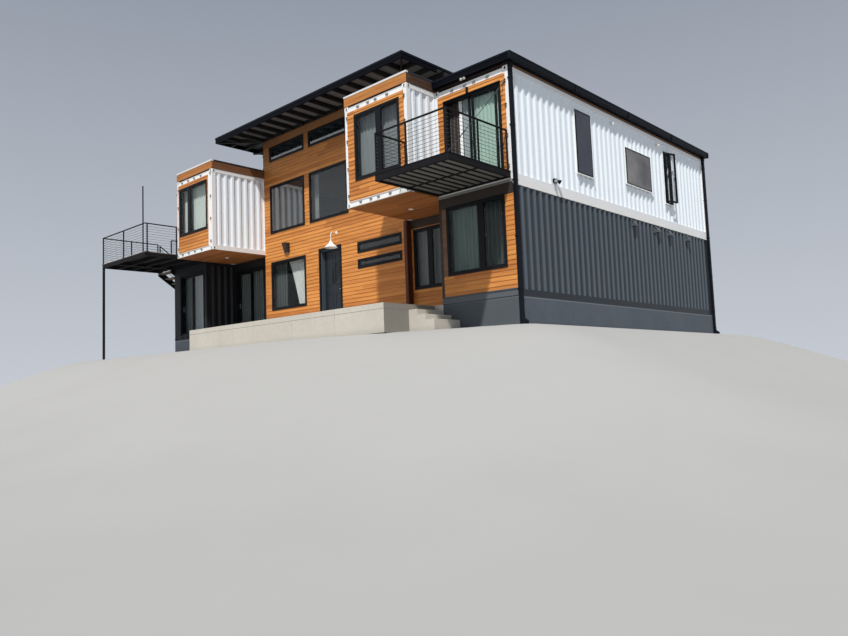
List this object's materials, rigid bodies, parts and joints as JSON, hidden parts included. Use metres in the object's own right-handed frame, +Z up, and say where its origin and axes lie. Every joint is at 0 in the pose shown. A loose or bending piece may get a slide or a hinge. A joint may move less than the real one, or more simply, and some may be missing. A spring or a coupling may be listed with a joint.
{
  "type": "shipping container cabin",
  "caption": "Two-storey cabin of stacked shipping containers either side of a timber-clad room, with an oversailing flat roof, balcony, deck, stair and porch.",
  "frame": {"origin": "at the lowest ground, midway between the two stacks of containers and midway along the containers", "axes": "+X along the front to the right as one faces the house, +Y to the back, +Z up; the front faces -Y"},
  "size_m": [18.4034, 15.8175, 8.16],
  "materials": {
    "white_paint": "satin",
    "slate_paint": "satin",
    "black_paint": "satin",
    "black_trim": "satin",
    "grey_steel": "satin",
    "pale_cap": "satin",
    "roof_metal": "matte",
    "roof_skin": "matte",
    "timber": "oiled",
    "deck_wood": "weathered",
    "floor_wood": "matte",
    "concrete": "broom finish",
    "foundation": "painted render",
    "window_glass": "clear",
    "steel": "satin"
  },
  "bodies": {
    "house": {"balcony_floor": "deck_wood", "balcony_frame": "grey_steel", "balcony_railing": "black_trim", "balcony_stay": "steel", "barn_light": "white_paint", "bay_frames": "white_paint", "bay_soffits": "timber", "container_roofs": "roof_skin", "deck_boards": "deck_wood", "deck_frame": "grey_steel", "deck_posts": "black_trim", "deck_railing": "black_trim", "downspouts": "black_trim", "entry_walls": "timber", "foundation": "foundation", "front_door_frame": "black_trim", "front_door_hinges": "steel", "great_fascia": "black_trim", "great_roof": "roof_metal", "great_side_walls": "timber", "great_wall": "timber", "ground_floor": "floor_wood", "low_roof": "black_trim", "lower_left_frame": "black_paint", "lower_left_fronts": "black_paint", "lower_left_side_wall": "black_paint", "lower_right_frame": "slate_paint", "lower_right_fronts": "timber", "lower_right_side_wall": "slate_paint", "outside_lights": "black_trim", "parapet_caps": "pale_cap", "parapets": "timber", "porch": "concrete", "porch_steps": "concrete", "rear_end_walls": "white_paint", "rear_great_wall": "timber", "recess_side_walls": "slate_paint", "sliding_door_frames": "black_trim", "sliding_door_glass": "window_glass", "stair_railing": "black_trim", "stair_stringers": "black_trim", "stair_treads": "deck_wood", "upper_floor": "floor_wood", "upper_fronts": "timber", "upper_right_frame": "white_paint", "upper_side_walls": "white_paint", "vent_hoods": "slate_paint", "window_frames": "black_trim", "window_panes": "window_glass"},
    "front_door": {"front_door": "slate_paint"},
    "outer_slider": {"outer_slider": "black_trim", "outer_slider_glass": "window_glass"},
    "recess_slider": {"recess_slider": "black_trim", "recess_slider_glass": "window_glass"}
  },
  "joints": [
    {"name": "front_door_hinge", "type": "hinge", "parent": "house", "child": "front_door", "pos_m": [-0.4275, -4.65873, 2.1], "axis": [0, 0, 1], "range_deg": [0, 90]},
    {"name": "outer_slider_track", "type": "slide", "parent": "house", "child": "outer_slider", "axis": [1, 0, 0], "range_m": [0, 0.79]},
    {"name": "recess_slider_track", "type": "slide", "parent": "house", "child": "recess_slider", "axis": [1, 0, 0], "range_m": [0, 0.84]}
  ]
}
